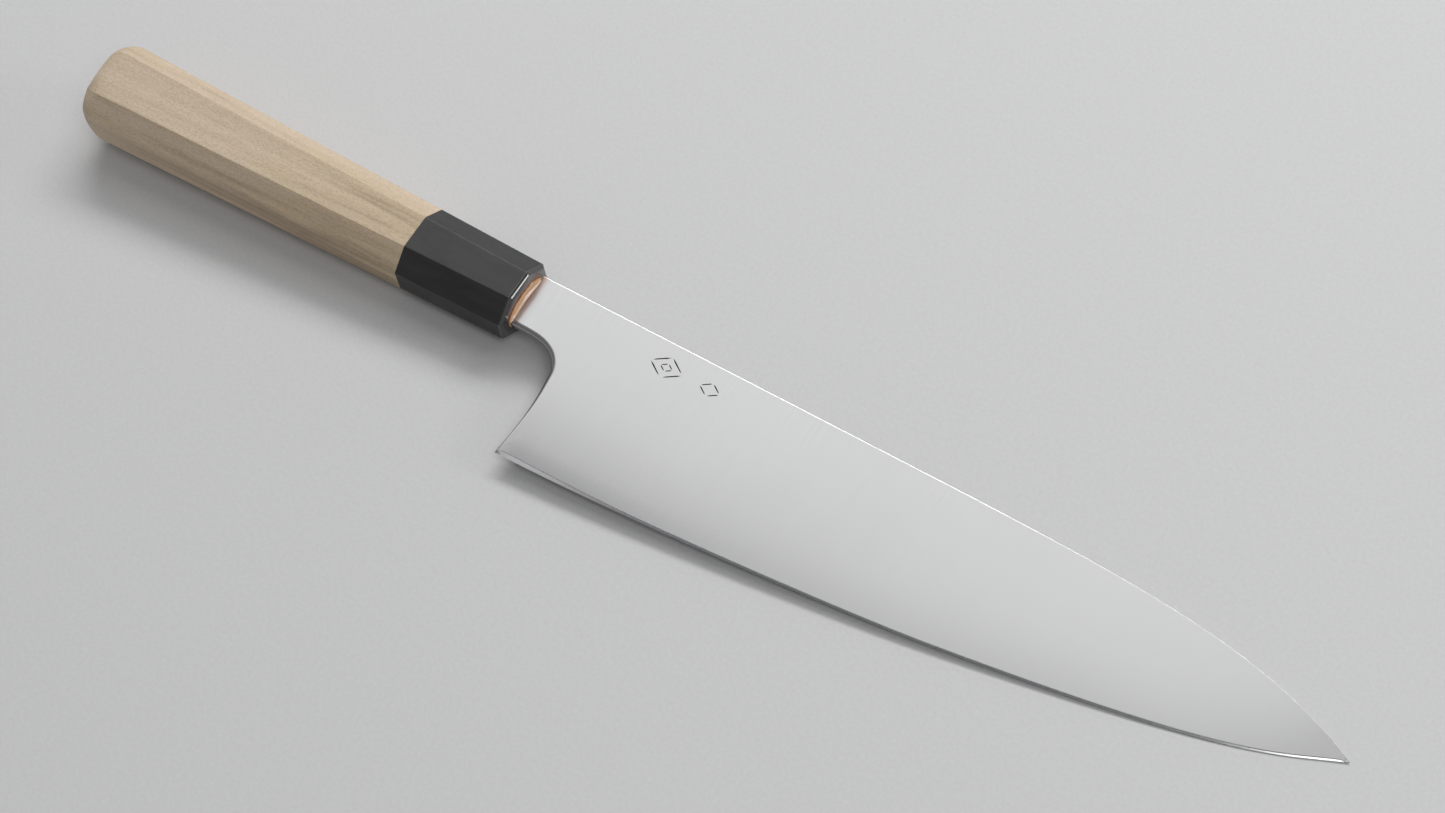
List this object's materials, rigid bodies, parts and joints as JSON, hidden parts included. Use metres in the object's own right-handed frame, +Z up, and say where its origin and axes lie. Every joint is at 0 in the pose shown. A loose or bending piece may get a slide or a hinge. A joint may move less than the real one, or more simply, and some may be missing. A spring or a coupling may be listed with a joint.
{
  "type": "chef knife",
  "caption": "Gyuto chef knife lying on its side: satin steel blade with a hidden tang in an octagonal pale wood handle with a black horn ferrule.",
  "frame": {"origin": "on the surface that the knife lies on, under the middle of its outline", "axes": "+X along the knife towards the tip, +Y towards the spine with the edge at -Y, +Z up from the surface"},
  "size_m": [0.407, 0.0564, 0.0254],
  "materials": {
    "blade_steel": "satin, ground with fine lines from spine to edge",
    "black_horn": "fine matt horn with a polished front face",
    "pale_wood": "bare, finely sanded",
    "dowel_wood": "bare",
    "bedding_resin": "cured",
    "mouth_resin": "glossy amber bead"
  },
  "bodies": {
    "root": {"blade": "blade_steel", "ferrule": "black_horn", "handle_body": "pale_wood", "core_dowel": "dowel_wood", "tang_bedding": "bedding_resin", "mouth_seal": "mouth_resin"}
  },
  "joints": []
}
